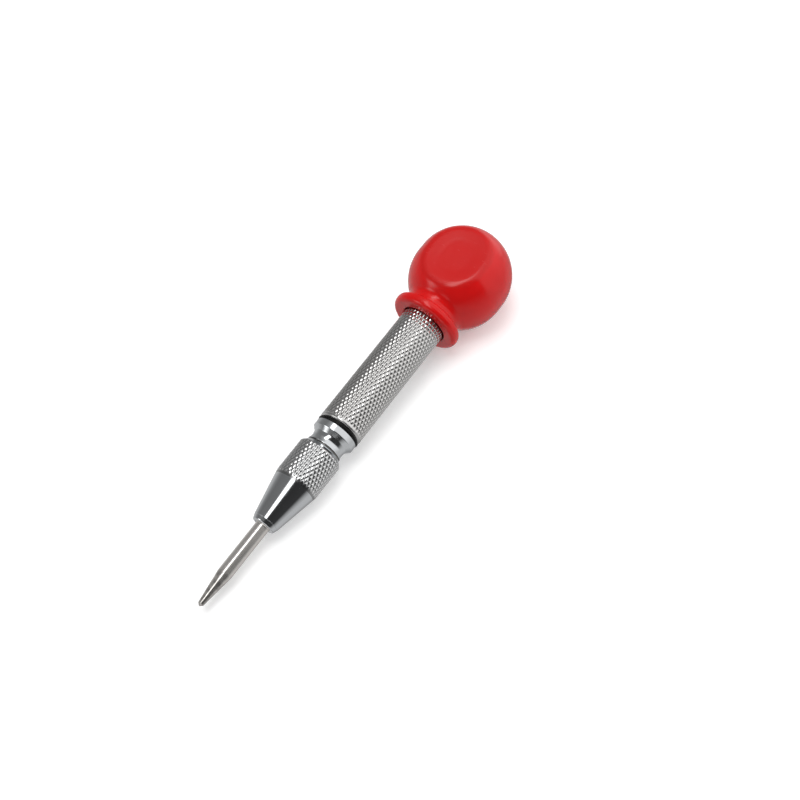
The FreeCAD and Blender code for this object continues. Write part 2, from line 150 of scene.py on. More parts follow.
def finished(name, points, faces, sharp_degrees=32, second=range(0)):
    """An object from points in millimetres about the tool's axis, welded, with normals outward.

    The faces numbered in second take the object's second material.
    """
    mesh = bpy.data.meshes.new(name)
    places = np.array(points, float) * MM
    places[:, 2] += AXIS_Z
    mesh.from_pydata(places.tolist(), [], faces)
    for i in second:
        mesh.polygons[i].material_index = 1
    bm = bmesh.new()
    bm.from_mesh(mesh)
    bmesh.ops.remove_doubles(bm, verts=bm.verts, dist=WELD_DISTANCE)
    bmesh.ops.dissolve_degenerate(bm, dist=SLIVER_LENGTH, edges=bm.edges)
    bmesh.ops.recalc_face_normals(bm, faces=bm.faces)
    bm.to_mesh(mesh)
    bm.free()
    mesh.shade_smooth()
    mesh.set_sharp_from_angle(angle=math.radians(sharp_degrees))
    return linked(name, mesh)


def placed(made, node, body, *materials):
    """Stands made in for a CAD node, on its body, in its materials."""
    for material in materials:
        made.data.materials.append(material)
    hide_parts(node)
    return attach(made, body)


def rounded(corners, steps=5):
    """An outline with arcs at its corners: each corner is (x, radius) or (x, radius, round)."""
    longest = 0.48  # of a run that an arc may take up, as a share
    out = []
    for i, corner in enumerate(corners):
        here = np.array(corner[:2], float)
        if len(corner) == 2 or i in (0, len(corners) - 1):
            out.append(tuple(here))
            continue
        back = np.array(corners[i - 1][:2], float) - here
        ahead = np.array(corners[i + 1][:2], float) - here
        back_length, ahead_length = np.linalg.norm(back), np.linalg.norm(ahead)
        back, ahead = back / back_length, ahead / ahead_length
        half = math.acos(np.clip(back @ ahead, -1, 1)) / 2
        reach = min(corner[2] / math.tan(half), longest * back_length, longest * ahead_length)
        centre = here + (back + ahead) / np.linalg.norm(back + ahead) * reach / math.cos(half)
        start, end = here + back * reach - centre, here + ahead * reach - centre
        turn = math.acos(np.clip(start @ end / (start @ start), -1, 1))
        for k in range(steps + 1):
            share = k / steps
            spoke = (math.sin((1 - share) * turn) * start + math.sin(share * turn) * end) / math.sin(turn)
            out.append(tuple(centre + spoke))
    return held(out)


def held(outline, gap=0.06):
    """Adds a point just inside each end of the long runs, so that they shade flat up to the corners."""
    out = [outline[0]]
    for here, ahead in zip(outline, outline[1:]):
        here, ahead = np.array(here, float), np.array(ahead, float)
        length = np.linalg.norm(ahead - here)
        if length > 8 * gap:
            step = (ahead - here) * gap / length
            out += [tuple(here + step), tuple(ahead - step)]
        out.append(tuple(ahead))
    return out


def turned(name, outline, segments=160):
    """A closed turned piece: the outline's two ends are joined, or closed where they meet the axis."""
    shell = Shell()
    first_open, last_open = outline[0][1] > ON_AXIS, outline[-1][1] > ON_AXIS
    inner = outline[0 if first_open else 1 : len(outline) if last_open else -1]
    first, last = shell.spin(inner, segments)
    if first_open and last_open:
        shell.join(last, first)
    if not first_open:
        shell.close(first, outline[0][0])
    if not last_open:
        shell.close(last, outline[-1][0])
    return finished(name, shell.points, shell.faces)


# ---------------------------------------------------------------- knurling

KNURL_STARTS = 35  # grooves of each hand
KNURL_LEAD = 2.2  # axial distance between neighbouring grooves of one hand
KNURL_DEPTH = 0.17
AFTER_KNURL = 0.02  # from a knurl's last ring to the next smooth one
KNURL_HALF_WIDTH = 0.37  # of a groove, as a share of the pitch
KNURL_STATIONS = np.array((0.0, 0.08, 0.24, 0.37, 0.5, 0.63, 0.76, 0.92))  # the mesh's points in each pitch


def groove(share):
    """Depth of a V groove with a small flat at the bottom: 1 at its middle, 0 just past its edges."""
    deepest = 0.94
    off = np.abs(share - np.round(share)) / KNURL_HALF_WIDTH
    return np.clip(1.06 - off, 0, deepest) / deepest


def knurl(shell, x0, x1, limit, depth_at):
    """A diamond-knurled sleeve from x0 to x1, below limit(x). Returns its first and last ring.

    Its faces are cells between the two hands of grooves. Point (i, j) lies where line i of one hand crosses
    line j of the other.
    """
    stations = len(KNURL_STATIONS)
    per_turn = stations * KNURL_STARTS

    def at(line):
        """A line's place, in pitches."""
        return line // stations + KNURL_STATIONS[line % stations]

    cells, found = [], {}
    for i in range(per_turn):
        u = at(i)
        low = int(math.floor((u - 2 * x1 / KNURL_LEAD) * stations)) - stations
        high = int(math.ceil((u - 2 * x0 / KNURL_LEAD) * stations)) + stations
        for j in range(low, high):
            corners = [(i, j), (i + 1, j), (i + 1, j + 1), (i, j + 1)]
            along = [(at(a) - at(b)) * KNURL_LEAD / 2 for a, b in corners]
            if max(along) <= x0 or min(along) >= x1:
                continue
            ids = []
            for a, b in corners:
                key = (a, b) if a < per_turn else (a - per_turn, b - per_turn)
                ids.append(found.setdefault(key, len(found)))
            cells.append(tuple(ids))
    u, v = at(np.array(list(found))).T
    angle = (u + v) * math.pi / KNURL_STARTS
    x = np.clip((u - v) * KNURL_LEAD / 2, x0, x1)
    turns = angle * KNURL_STARTS / FULL_TURN
    cut = np.maximum(groove(turns + x / KNURL_LEAD), groove(turns - x / KNURL_LEAD))
    radius = np.minimum(limit(x), GRIP_RADIUS - depth_at(x) * cut)
    first = len(shell.points)
    shell.points.extend(zip(x, radius * np.cos(angle), radius * np.sin(angle)))
    shell.knurled = range(len(shell.faces), len(shell.faces) + len(cells))
    shell.faces.extend(tuple(first + i for i in cell) for cell in cells)
    rings = []
    for end in (x0, x1):
        on_end = np.flatnonzero(x == end)
        wrapped = np.mod(angle[on_end], FULL_TURN)
        _, once = np.unique(np.round(wrapped, 7), return_index=True)
        once = once[np.argsort(wrapped[once])]
        rings.append(((first + on_end[once]).tolist(), wrapped[once]))
    return rings


def follows(outline):
    """The radius along an outline, as a function of X."""
    xs, rs = np.array([p[:2] for p in outline]).T
    return lambda x: np.interp(x, xs, rs)


def ease(value, low, high):
    """A smooth step, from 0 at low to 1 at high."""
    share = np.clip((value - low) / (high - low), 0, 1)
    return share * share * (3 - 2 * share)


# ---------------------------------------------------------------- materials


class Nodes:
    """A material's node tree, with its Principled shader."""

    def __init__(self, name):
        self.material = bpy.data.materials.new(name)
        self.material.use_nodes = True
        self.tree = self.material.node_tree
        self.shader = self.tree.nodes["Principled BSDF"]
        self.place = self.add("ShaderNodeTexCoord").outputs["Object"]

    def add(self, kind, inputs=None, **settings):
        node = self.tree.nodes.new(kind)
        for key, value in settings.items():
            setattr(node, key, value)
        for key, value in (inputs or {}).items():
            self.feed(node.inputs[key], value)
        return node

    def feed(self, socket, value):
        if isinstance(value, bpy.types.NodeSocket):
            self.tree.links.new(value, socket)
        else:
            socket.default_value = value

    def set(self, **values):
        for key, value in values.items():
            self.feed(self.shader.inputs[key.replace("_", " ")], value)

    def math(self, operation, a, b=0.0):
        return self.add("ShaderNodeMath", {0: a, 1: b}, operation=operation).outputs[0]

    def ramp(self, value, low, high, to_low, to_high):
        sockets = {"Value": value, "From Min": low, "From Max": high, "To Min": to_low, "To Max": to_high}
        return self.add("ShaderNodeMapRange", sockets).outputs["Result"]

    def mix(self, share, a, b):
        node = self.add("ShaderNodeMix", data_type="RGBA")
        self.feed(node.inputs[0], share)
        self.feed(node.inputs[6], a)
        self.feed(node.inputs[7], b)
        return node.outputs[2]

    def noise(self, scale, stretch=(1, 1, 1), detail=3.0):
        """Noise in metres: scale is features per metre, stretch squeezes them along each axis."""
        moved = self.add("ShaderNodeMapping", {"Vector": self.place, "Scale": stretch}).outputs[0]
        node = self.add("ShaderNodeTexNoise", {"Vector": moved, "Scale": scale, "Detail": detail})
        return node.outputs["Fac"]

    def off_axis(self):
        """Distance from the tool's axis."""
        parts = self.add("ShaderNodeSeparateXYZ", {0: self.place})
        height = self.math("SUBTRACT", parts.outputs["Z"], AXIS_Z)
        flat = self.add("ShaderNodeCombineXYZ", {"Y": parts.outputs["Y"], "Z": height}).outputs[0]
        return self.add("ShaderNodeVectorMath", {0: flat}, operation="LENGTH").outputs["Value"]

    def bump(self, height, distance, strength=1.0):
        node = self.add("ShaderNodeBump", {"Height": height, "Distance": distance, "Strength": strength})
        self.feed(self.shader.inputs["Normal"], node.outputs[0])


def grey(level, warmth=0.0):
    return (level * (1 + warmth), level, level * (1 - warmth), 1)


def turned_metal(name, level, warmth, roughness, rings=2500, depth=0.4e-6):
    """Polished metal with fine turning marks round the axis and faint cloudiness."""
    n = Nodes(name)
    marks = n.noise(rings, (1, 0.02, 0.02), 2.0)
    cloud = n.noise(260, detail=4.0)
    n.set(
        Metallic=1.0,
        Base_Color=n.mix(cloud, grey(level * 0.93, warmth), grey(level * 1.05, warmth)),
        Roughness=n.ramp(cloud, 0.3, 0.7, roughness * 0.85, roughness * 1.25),
    )
    n.bump(marks, depth)
    return n.material


def knurled_metal(name, level, warmth):
    """Knurled steel: bright crests, with the colour darkened towards the groove bottoms as painted shade."""
    n = Nodes(name)
    bottom = (GRIP_RADIUS - KNURL_DEPTH) * MM
    flank = (GRIP_RADIUS - 0.7 * KNURL_DEPTH) * MM
    height = n.ramp(n.off_axis(), bottom, flank, 0.0, 1.0)
    cloud = n.noise(900, detail=4.0)
    # Painted shade: the colour darkens towards the groove bottoms, with faint random tone over it.
    groove_shade_and_tone = n.math("MULTIPLY", height, n.ramp(cloud, 0.3, 0.7, 0.88, 1.0))
    n.set(
        Metallic=1.0,
        Base_Color=n.mix(groove_shade_and_tone, grey(level * 0.45, warmth * 2), grey(level, warmth)),
        Roughness=n.ramp(height, 0.0, 1.0, 0.24, 0.13),
    )
    n.bump(n.noise(9000, detail=2.0), 1.2e-6)
    return n.material


def bit_steel():
    """Warm ground steel: long drawing streaks, and dark stains on the taper."""
    n = Nodes("bit_steel")
    streaks = n.noise(2600, (0.03, 1, 1), 3.0)
    cloud = n.noise(500, detail=3.0)
    along = n.add("ShaderNodeSeparateXYZ", {0: n.place}).outputs["X"]
    on_taper = n.ramp(along, (TIP_X + 9) * MM, (TIP_X + 11) * MM, 1.0, 0.0)
    stain = n.math("MULTIPLY", on_taper, n.ramp(cloud, 0.35, 0.6, 0.0, 0.55))
    steel = n.mix(streaks, grey(0.66, 0.05), grey(0.80, 0.04))
    n.set(
        Metallic=0.85,
        Base_Color=n.mix(stain, steel, grey(0.16, 0.05)),
        Roughness=n.ramp(streaks, 0.3, 0.7, 0.17, 0.25),
    )
    n.bump(streaks, 0.4e-6)
    return n.material


def red_plastic():
    """Gloss moulded plastic with faint scuffs, a little rougher on the two finger flats, whose red is
    darkened as painted shade.
    """
    n = Nodes("red_plastic")
    cloud = n.noise(220, detail=3.0)
    scuffs = n.noise(1400, (1, 0.25, 1), 4.0)
    height = n.math("SUBTRACT", n.add("ShaderNodeSeparateXYZ", {0: n.place}).outputs["Z"], AXIS_Z)
    on_flat = n.ramp(n.math("ABSOLUTE", height), (FLAT_HEIGHT - 1.0) * MM, (FLAT_HEIGHT - 0.2) * MM, 0.0, 1.0)
    colour = n.mix(cloud, (0.60, 0.005, 0.005, 1), (0.66, 0.007, 0.007, 1))
    gloss = n.ramp(scuffs, 0.45, 0.75, 0.18, 0.26)
    n.set(
        # Painted shade: the flats, which face the light, take a darker red so they come out no brighter than
        # the ball's sides.
        Base_Color=n.mix(n.math("MULTIPLY", on_flat, 0.6), colour, (0.46, 0.012, 0.011, 1)),
        Roughness=n.math("ADD", gloss, n.math("MULTIPLY", on_flat, 0.03)),
        Specular_IOR_Level=0.2,
        Coat_Weight=0.3,
        Coat_Roughness=0.06,
    )
    n.bump(n.noise(900, detail=2.0), 1.5e-6, 0.5)
    return n.material


def black_rubber():
    n = Nodes("black_rubber")
    cloud = n.noise(2500, detail=4.0)
    n.set(
        Base_Color=n.mix(cloud, (0.003, 0.003, 0.003, 1), (0.008, 0.008, 0.007, 1)),
        Roughness=n.ramp(cloud, 0.3, 0.7, 0.22, 0.34),
        Specular_IOR_Level=0.16,
    )
    n.bump(n.noise(12000, detail=2.0), 1.5e-6)
    return n.material


def spring_wire():
    n = Nodes("spring_wire")
    cloud = n.noise(1800, detail=4.0)
    n.set(
        Metallic=1.0,
        Base_Color=n.mix(cloud, grey(0.34, 0.03), grey(0.5, 0.02)),
        Roughness=n.ramp(cloud, 0.3, 0.7, 0.22, 0.38),
    )
    n.bump(n.noise(7000, detail=2.0), 1.0e-6)
    return n.material


PLATED = turned_metal("plated_steel", 0.70, -0.025, 0.10)
SPOOL_PLATED = turned_metal("turned_plating", 0.73, -0.025, 0.13, depth=1.3e-6)
TUBE_STEEL = turned_metal("tube_steel", 0.62, 0.01, 0.22)
TOOL_STEEL = turned_metal("tool_steel", 0.55, 0.02, 0.24, depth=1.0e-6)
DARK_STEEL = turned_metal("dark_washer", 0.24, 0.03, 0.32)
SEAT_STEEL = turned_metal("seat_steel", 0.46, 0.01, 0.3, depth=1.0e-6)
BRASS = turned_metal("insert_brass", 0.6, 0.35, 0.25, depth=1.0e-6)
BARREL_STEEL = knurled_metal("knurled_steel", 0.76, 0.012)
NOSE_STEEL = knurled_metal("knurled_plating", 0.82, -0.004)
BIT_STEEL = bit_steel()
RED = red_plastic()
RUBBER = black_rubber()
SPRING = spring_wire()

# ---------------------------------------------------------------- turned pieces


def make_bit():
    """Short point, long taper, straight shank, and a head that starts just inside the nose."""
    shank, head = 2.0, 2.2
    point_x, point = TIP_X + 0.75, 0.82
    taper_x = TIP_X + 9.85
    outline = rounded(
        [
            (TIP_X, 0.0),
            (TIP_X + 0.1, 0.13),
            (point_x, point, 0.08),
            (taper_x, shank - 0.05, 0.4),
            (taper_x + 0.2, shank),
            (NOSE_X - 0.1, shank),
            (NOSE_X + 0.1, head),
            (BIT_REAR - 0.3, head, 0.2),
            (BIT_REAR, head - 0.3),
            (BIT_REAR, 0.0),
        ]
    )
    return placed(turned("bit", outline, 96), "punch_bit", "punch", BIT_STEEL)


def make_nose():
    """Cone nut: rounded lip, polished cone, knurl that runs out over the cone's end, and a chamfer."""
    hole, chamber, thread, rear_face = 2.3, 3.5, 4.5, 5.24
    hole_end, thread_x = NOSE_X + 11.1, WASHER_REAR - 8.8
    lip, cone = 3.2, 3.72
    knurl_start, knurl_end = CONE_END - 1.45, NOSE_REAR - 1.3
    front = rounded(
        [
            (hole_end, chamber),
            (hole_end, hole),
            (NOSE_X + 0.25, hole, 0.2),
            (NOSE_X, hole + 0.2, 0.15),
            (NOSE_X, lip, 0.75),
            (NOSE_X + 1.3, cone - 0.06, 0.25),
            (NOSE_X + 1.32, cone),
            (knurl_start - 0.05, 6.08),
        ]
    )
    full_width = [(CONE_END, GRIP_RADIUS), (knurl_end, GRIP_RADIUS)]
    limit = follows([(CONE_END - 1.6, 6.06), *full_width, (NOSE_REAR, rear_face)])
    sleeve_end = knurl_end + 0.45
    shell = Shell()
    inner_end, cone_ring = shell.spin(front, SEGMENTS)
    start, end = knurl(shell, knurl_start, sleeve_end, limit, lambda x: np.full_like(x, KNURL_DEPTH))
    shell.join(cone_ring, start)
    rear_x = sleeve_end + AFTER_KNURL
    rear = rounded(
        [
            (rear_x, float(limit(rear_x))),
            (NOSE_REAR, rear_face, 0.12),
            (NOSE_REAR, thread, 0.1),
            (thread_x, thread),
            (thread_x, chamber),
        ]
    )
    rear_start, rear_end = shell.spin(rear, SEGMENTS)
    shell.join(end, rear_start)
    shell.join(rear_end, inner_end)
    made = finished("nose", shell.points, shell.faces, second=shell.knurled)
    return placed(made, "nose_cone", "nose", PLATED, NOSE_STEEL)


def make_washer():
    gap, bore, rim = 0.03, 4.5, 4.95
    outline = [
        (WASHER_X + gap, bore),
        (WASHER_X + gap, rim, 0.1),
        (WASHER_X + 0.25, rim + 0.07),
        (WASHER_REAR - gap, rim, 0.1),
        (WASHER_REAR - gap, bore),
    ]
    return placed(turned("washer", rounded(outline)), "nose_washer", "nose_carrier", DARK_STEEL)


def threaded(shell, x0, x1, radius, pitch, depth):
    """Rings of a V thread that fades in at x0 and out at x1. Returns the first and last ring."""
    rings_per_pitch = 8
    angles = np.arange(SEGMENTS) * FULL_TURN / SEGMENTS
    rings = []
    for x in np.arange(x0, x1 + ON_AXIS, pitch / rings_per_pitch):
        phase = (x - x0) / pitch - angles / FULL_TURN
        tooth = np.abs(phase - np.round(phase)) * 2
        fade = ease(x, x0, x0 + pitch) * ease(-x, -x1, -x1 + pitch / 2)
        rings.append(shell.add(x, radius - depth * fade * (1 - tooth), angles))
    for near, far in zip(rings, rings[1:]):
        shell.join(near, far)
    return rings[0], rings[-1]


def make_front_body():
    """Threaded nose end, waisted spool, cone and collar, and the spigot inside the barrel."""
    thread, collar, spigot, chamber, bore = 4.45, 6.15, 5.25, 3.5, 2.55
    face, collar_x, collar_end = WASHER_REAR, WASHER_REAR + 3.9, BARREL_X - 1.0
    hollow_x, hollow_r, hollow_round, half_angle, steps = face + 1.45, 8.03, 3.2, 24.2, 12
    angles = [math.radians(180 + half_angle * (2 * k / steps - 1)) for k in range(steps + 1)]
    waist = [(hollow_x + hollow_round * math.sin(a), hollow_r + hollow_round * math.cos(a)) for a in angles]
    waist.sort()
    middle = rounded(
        [
            (face, thread),
            (face, waist[0][1], 0.08),
            *waist,
            (collar_x, collar, 0.25),
            (collar_end, collar, 0.18),
            (collar_end, spigot),
            (BODY_REAR, spigot, 0.2),
            (BODY_REAR, bore),
            (RETURN_SEAT_X, bore),
            (RETURN_SEAT_X, chamber),
            (BODY_X, chamber),
            (BODY_X, thread - 0.25),
        ]
    )
    shell = Shell()
    first, last = threaded(shell, BODY_X + 0.1, face - 0.6, thread, pitch=1.0, depth=0.3)
    start, end = shell.spin(middle, SEGMENTS)
    shell.join(last, start)
    shell.join(end, first)
    return placed(finished("front_sleeve", shell.points, shell.faces), "front_body", "housing", SPOOL_PLATED)


def make_ring():
    section, gap, steps = 0.49, 0.01, 20
    centre_x, centre_r = BARREL_X - section - gap, GRIP_RADIUS - section - gap
    around = [k * FULL_TURN / steps for k in range(steps)]
    outline = [(centre_x + section * math.cos(a), centre_r + section * math.sin(a)) for a in around]
    return placed(turned("seal_ring", outline, 128), "o_ring", "housing", RUBBER)


def make_barrel():
    """Knurled tube: a smooth rounded edge at the front, and the knurl running on under the knob."""
    bore, guide_bore, rear_bore, rear = 5.3, 4.75, 5.1, 6.1
    bore_end, guide_x, guide_end = BARREL_X + 21, BARREL_X + 23, BARREL_REAR - 7.5
    edge = 0.5  # of the rounded front, both ways
    edge_x, knurl_end, chamfer = BARREL_X + edge, KNOB_X - 0.1, 0.4
    limit = follows([(BARREL_X, GRIP_RADIUS - edge), (edge_x, GRIP_RADIUS), (knurl_end, GRIP_RADIUS)])
    shell = Shell()
    front = rounded(
        [
            (bore_end, bore),
            (BARREL_X, bore),
            (BARREL_X, GRIP_RADIUS - edge, 0.15),
            (edge_x, GRIP_RADIUS, 0.35),
            (edge_x + 0.3, GRIP_RADIUS),
        ]
    )
    inner_end, edge_ring = shell.spin(front, SEGMENTS)
    start, end = knurl(
        shell, edge_x + 0.32, knurl_end, limit, lambda x: KNURL_DEPTH * ease(x, edge_x + 0.1, edge_x + 1.0)
    )
    shell.join(edge_ring, start)
    back = rounded(
        [
            (knurl_end + AFTER_KNURL, rear),
            (BARREL_REAR - chamfer, rear, 0.2),
            (BARREL_REAR, rear - chamfer),
            (BARREL_REAR, rear_bore),
            (guide_end, rear_bore),
            (guide_end, guide_bore),
            (guide_x, guide_bore),
        ]
    )
    back_start, back_end = shell.spin(back, SEGMENTS)
    shell.join(end, back_start)
    shell.join(back_end, inner_end)
    made = finished("grip_tube", shell.points, shell.faces, second=shell.knurled)
    return placed(made, "barrel", "housing", TUBE_STEEL, BARREL_STEEL)


# ---------------------------------------------------------------- knob

SOCKET_X = KNOB_X + 15.2  # floor of the socket that the barrel's end sits in
DISH_DEPTH = 0.25
DISH_RADII = (3.2, 8.2)  # full depth inside the first, none outside the second
RING_RADII = (3.3, 5.3)  # faint moulding rings on each flat
RING_HEIGHT = 0.016
RING_WIDTH = 0.28
EDGE_SOFTNESS = 0.9


def ball_outline():
    """The knob's outside from the socket floor, round the flange and neck, over the ball to its end."""
    socket, neck_r, fillet = 6.55, 8.15, 2.5
    flange_r, flange_end, flange_round = 10.25, KNOB_X + 3.0, 1.45
    reach = BALL_RADIUS + fillet
    start_angle = math.asin((neck_r + fillet) / reach)  # where the neck's fillet meets the ball
    fillet_x, fillet_r = BALL_FRONT_X - reach * math.cos(start_angle), neck_r + fillet
    bends = np.linspace(0, math.pi / 2 - start_angle, 11)
    neck = [(fillet_x + fillet * math.sin(a), fillet_r - fillet * math.cos(a)) for a in bends]
    ball = []
    for angle in np.linspace(start_angle, math.pi, 91):
        centre = BALL_FRONT_X if angle <= math.pi / 2 else BALL_REAR_X
        ball.append((centre - BALL_RADIUS * math.cos(angle), BALL_RADIUS * math.sin(angle)))
    flange = rounded(
        [
            (SOCKET_X, socket),
            (KNOB_X, socket, 0.55),
            (KNOB_X, flange_r, flange_round),
            (flange_end, flange_r, flange_round),
            (flange_end + 0.05, neck_r, 0.6),
            neck[0],
        ],
        steps=10,
    )
    return flange + neck[1:] + ball[1:-1], ball[-1]


def flatten(points):
    """Presses the ball's top and bottom down to the dished finger flats, with a soft edge."""
    behind_flange = KNOB_X + 6
    x, y, z = points.T
    centre, half_straight = (BALL_FRONT_X + BALL_REAR_X) / 2, (BALL_REAR_X - BALL_FRONT_X) / 2
    from_centre = np.hypot(np.maximum(np.abs(x - centre) - half_straight, 0), y)
    dish = DISH_DEPTH * (1 - ease(from_centre, *DISH_RADII))
    rings = sum(RING_HEIGHT * np.exp(-(((from_centre - radius) / RING_WIDTH) ** 2)) for radius in RING_RADII)
    flat = FLAT_HEIGHT - dish + rings
    height = np.abs(z)
    gap = np.clip((height - flat) / EDGE_SOFTNESS, -1, 1)
    blended = np.where(gap >= 1, flat, height - EDGE_SOFTNESS * (gap + 1) ** 2 / 4)
    eased = np.where((x > behind_flange) & (gap > -1), np.minimum(blended, height), height)
    return np.stack([x, y, np.sign(z) * eased], axis=1)


def make_knob():
    segments, pocket, pocket_end_x = 320, 4.25, KNOB_X + 24.6  # the pocket holds the brass insert
    outline, tail = ball_outline()
    shell = Shell()
    first, last = shell.spin(outline, segments)
    shell.close(last, tail[0])
    pocket_start, pocket_end = shell.spin([(SOCKET_X, pocket), (pocket_end_x, pocket)], segments)
    shell.join(pocket_start, first)
    shell.close(pocket_end, pocket_end_x)
    made = finished("ball_knob", flatten(np.array(shell.points)), shell.faces)
    return placed(made, "knob", "adjuster", RED)


# ---------------------------------------------------------------- springs


def coil(low, high, coil_radius, wire, turns):
    """Points and faces of a compression spring along X from low to high, with a closed turn at each end."""
    per_turn, sides = 28, 12
    count = turns * per_turn
    share = np.linspace(0, 1, count + 1)
    # The wire climbs between the closed end turns. It eases off the first one half a turn early, which moves
    # the open turns up by half a pitch, and that is given back over the last one.
    open_part = np.clip(share - 1 / turns, 0, 1 - 2 / turns) / (1 - 2 / turns)
    early = ease(share, 0.5 / turns, 1.5 / turns) - ease(share, 1 - 1.5 / turns, 1 - 0.5 / turns)
    lift = np.clip(open_part + early * 0.5 / turns, 0, 1)
    along = low + wire / 2 + (high - low - wire) * lift
    points, faces = [], []
    for x, angle in zip(along, share * turns * FULL_TURN):
        for q in range(sides):
            a = q * FULL_TURN / sides
            radius = coil_radius + wire / 2 * math.cos(a)
            points.append((x + wire / 2 * math.sin(a), radius * math.cos(angle), radius * math.sin(angle)))
    for k in range(count):
        for q in range(sides):
            beside = (q + 1) % sides
            near, far = k * sides, (k + 1) * sides
            faces.append((near + q, near + beside, far + beside, far + q))
    faces.append(tuple(range(sides)))
    faces.append(tuple(count * sides + q for q in range(sides)))
    return np.array(points), faces


def make_spring(name, node, body, wire, turns, upright=False, room=0.0):
    """Replaces a spring's CAD solid with a coil that has a mesh of its own.

    room is left free at the spring's low end, for a seat that itself moves that way.
    """
    lo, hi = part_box(node)
    axis = 2 if upright else 0
    axis_height = AXIS_Z / MM if upright else 0
    low, high = lo[axis] / MM - axis_height + room, hi[axis] / MM - axis_height
    points, faces = coil(low, high, half_width(node) - wire / 2, wire, turns)
    if upright:
        points = points[:, [1, 2, 0]]
        points[:, 0] += (lo.x + hi.x) / 2 / MM
    made = placed(finished(name, points, faces, sharp_degrees=60), node, body, SPRING)
    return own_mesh(made)


# ---------------------------------------------------------------- the tool


make_bit()
make_nose()
make_washer()
make_front_body()
make_ring()
make_barrel()
make_knob()
make_spring("plunger_spring", "return_spring", "housing", 0.5, 8)
make_spring("drive_spring", "main_spring", "adjuster_seat", 1.1, 9, room=KNOB_IN + 0.05)
make_spring("catch_spring", "trip_spring", "striker", 0.3, 4, upright=True)

KEPT = {
    "plunger": TOOL_STEEL,
    "hammer": TOOL_STEEL,
    "trip_slide": TOOL_STEEL,
    "return_washer": SEAT_STEEL,
    "spring_seat": SEAT_STEEL,
    "adjuster_screw": SEAT_STEEL,
    "knob_insert": BRASS,
}
for node, material in KEPT.items():
    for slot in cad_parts[node].material_slots:
        slot.material = material

# ---------------------------------------------------------------- floor, light and camera

# The tool lies on the front edge of the knob's lower flat and on the nose, so the floor slopes with it.
REST_REAR = (BALL_FRONT_X - math.sqrt(BALL_RADIUS**2 - FLAT_HEIGHT**2), -FLAT_HEIGHT)
REST_FRONT = (CONE_END, -GRIP_RADIUS)
SLOPE = math.atan2(REST_FRONT[1] - REST_REAR[1], REST_REAR[0] - REST_FRONT[0])
WORLD_LIGHT = 0.38  # on surfaces, while the background shows as 1, which is white
GLOW_DISTANCES = (0.16, 0.42)  # metres from the tool, between which the floor's glow grows


def white_world():
    """A white background that lights the object at WORLD_LIGHT."""
    world = bpy.data.worlds.new("studio")
    bpy.context.scene.world = world
    world.use_nodes = True
    tree = world.node_tree
    background = tree.nodes["Background"]
    background.inputs["Color"].default_value = (1, 1, 1, 1)
    path = tree.nodes.new("ShaderNodeLightPath")
    seen = path.outputs["Is Camera Ray"]
    for ray in ("Is Glossy Ray", "Is Transmission Ray"):
        larger = tree.nodes.new("ShaderNodeMath")
        larger.operation = "MAXIMUM"
        tree.links.new(seen, larger.inputs[0])
        tree.links.new(path.outputs[ray], larger.inputs[1])
        seen = larger.outputs[0]
    level = tree.nodes.new("ShaderNodeMapRange")
    tree.links.new(seen, level.inputs["Value"])
    level.inputs["To Min"].default_value = WORLD_LIGHT
    level.inputs["To Max"].default_value = 1.0
    tree.links.new(level.outputs["Result"], background.inputs["Strength"])


def make_floor():
    bm = bmesh.new()
    bmesh.ops.create_circle(bm, cap_ends=True, segments=96, radius=2.5)
    mesh = bpy.data.meshes.new("floor")
    bm.to_mesh(mesh)
    bm.free()
    floor = linked("floor", mesh)
    floor.location = (REST_REAR[0] * MM, 0, AXIS_Z + REST_REAR[1] * MM)
    floor.rotation_euler = (0, SLOPE, 0)
    n = Nodes("pale_floor")
    n.tree.nodes.remove(n.shader)
    cloud = n.noise(9, detail=3.0)
    matte = n.add("ShaderNodeBsdfDiffuse", {"Color": n.mix(cloud, grey(0.90), grey(0.93))})
    # The camera sees the floor glow, and more so further out, until it meets the white background.
    away = n.add("ShaderNodeVectorMath", {0: n.place}, operation="LENGTH").outputs["Value"]
    glow = n.add("ShaderNodeEmission", {"Strength": n.ramp(away, *GLOW_DISTANCES, 0.30, 1.0)})
    both = n.add("ShaderNodeAddShader", {0: matte.outputs[0], 1: glow.outputs[0]})
    path = n.add("ShaderNodeLightPath").outputs["Is Camera Ray"]
    choice = n.add("ShaderNodeMixShader", {0: path, 1: matte.outputs[0], 2: both.outputs[0]})
    out = n.tree.nodes["Material Output"]
    n.tree.links.new(choice.outputs[0], out.inputs["Surface"])
    mesh.materials.append(n.material)
    floor.visible_glossy = False
    return floor


# The tent, lamps and camera are in metres.
TENT_RADIUS = 0.62
TENT_HALF_LENGTH = 1.6
# Levels of the tent's inside, as (degrees from +Y over the top towards -Y, level). The first list is for the
# stretch up to SHADED_END, which the photographer shades, and the second for the rest, towards the knob.
SHADED_LEVELS = (
    (-90, 0.50),
    (-40, 0.58),
    (-14, 0.52),
    (8, 0.26),
    (26, 0.19),
    (70, 0.20),
    (100, 0.06),
    (112, 0.035),
    (172, 0.045),
    (190, 0.40),
    (205, 0.58),
    (235, 0.58),
    (265, 0.30),
)
OPEN_LEVELS = (
    (-90, 0.50),
    (-40, 0.50),
    (-14, 0.40),
    (8, 0.24),
    (40, 0.20),
    (68, 0.40),
    (92, 1.0),
    (165, 1.0),
    (190, 0.75),
    (205, 0.58),
    (235, 0.58),
    (265, 0.30),
)
SHADED_END = 0.13
SHADED_BLEND = 0.04  # either side of it
STRIP_ANGLE = 87  # of the strip's middle, measured as the tent's levels are
STRIP_X = (-0.30, 0.33)
STRIP_WIDTH = 0.24
STRIP_LEVEL = 4.0
STRIP_SLANT = 18  # degrees
WINDOW_SIDE = 0.30
WINDOW_LEVEL = 3.0


def standing(place, x_axis, y_axis, z_axis):
    """The matrix of an object that stands at place with its own axes along these three."""
    return Matrix.Translation(place) @ Matrix((x_axis, y_axis, z_axis)).transposed().to_4x4()


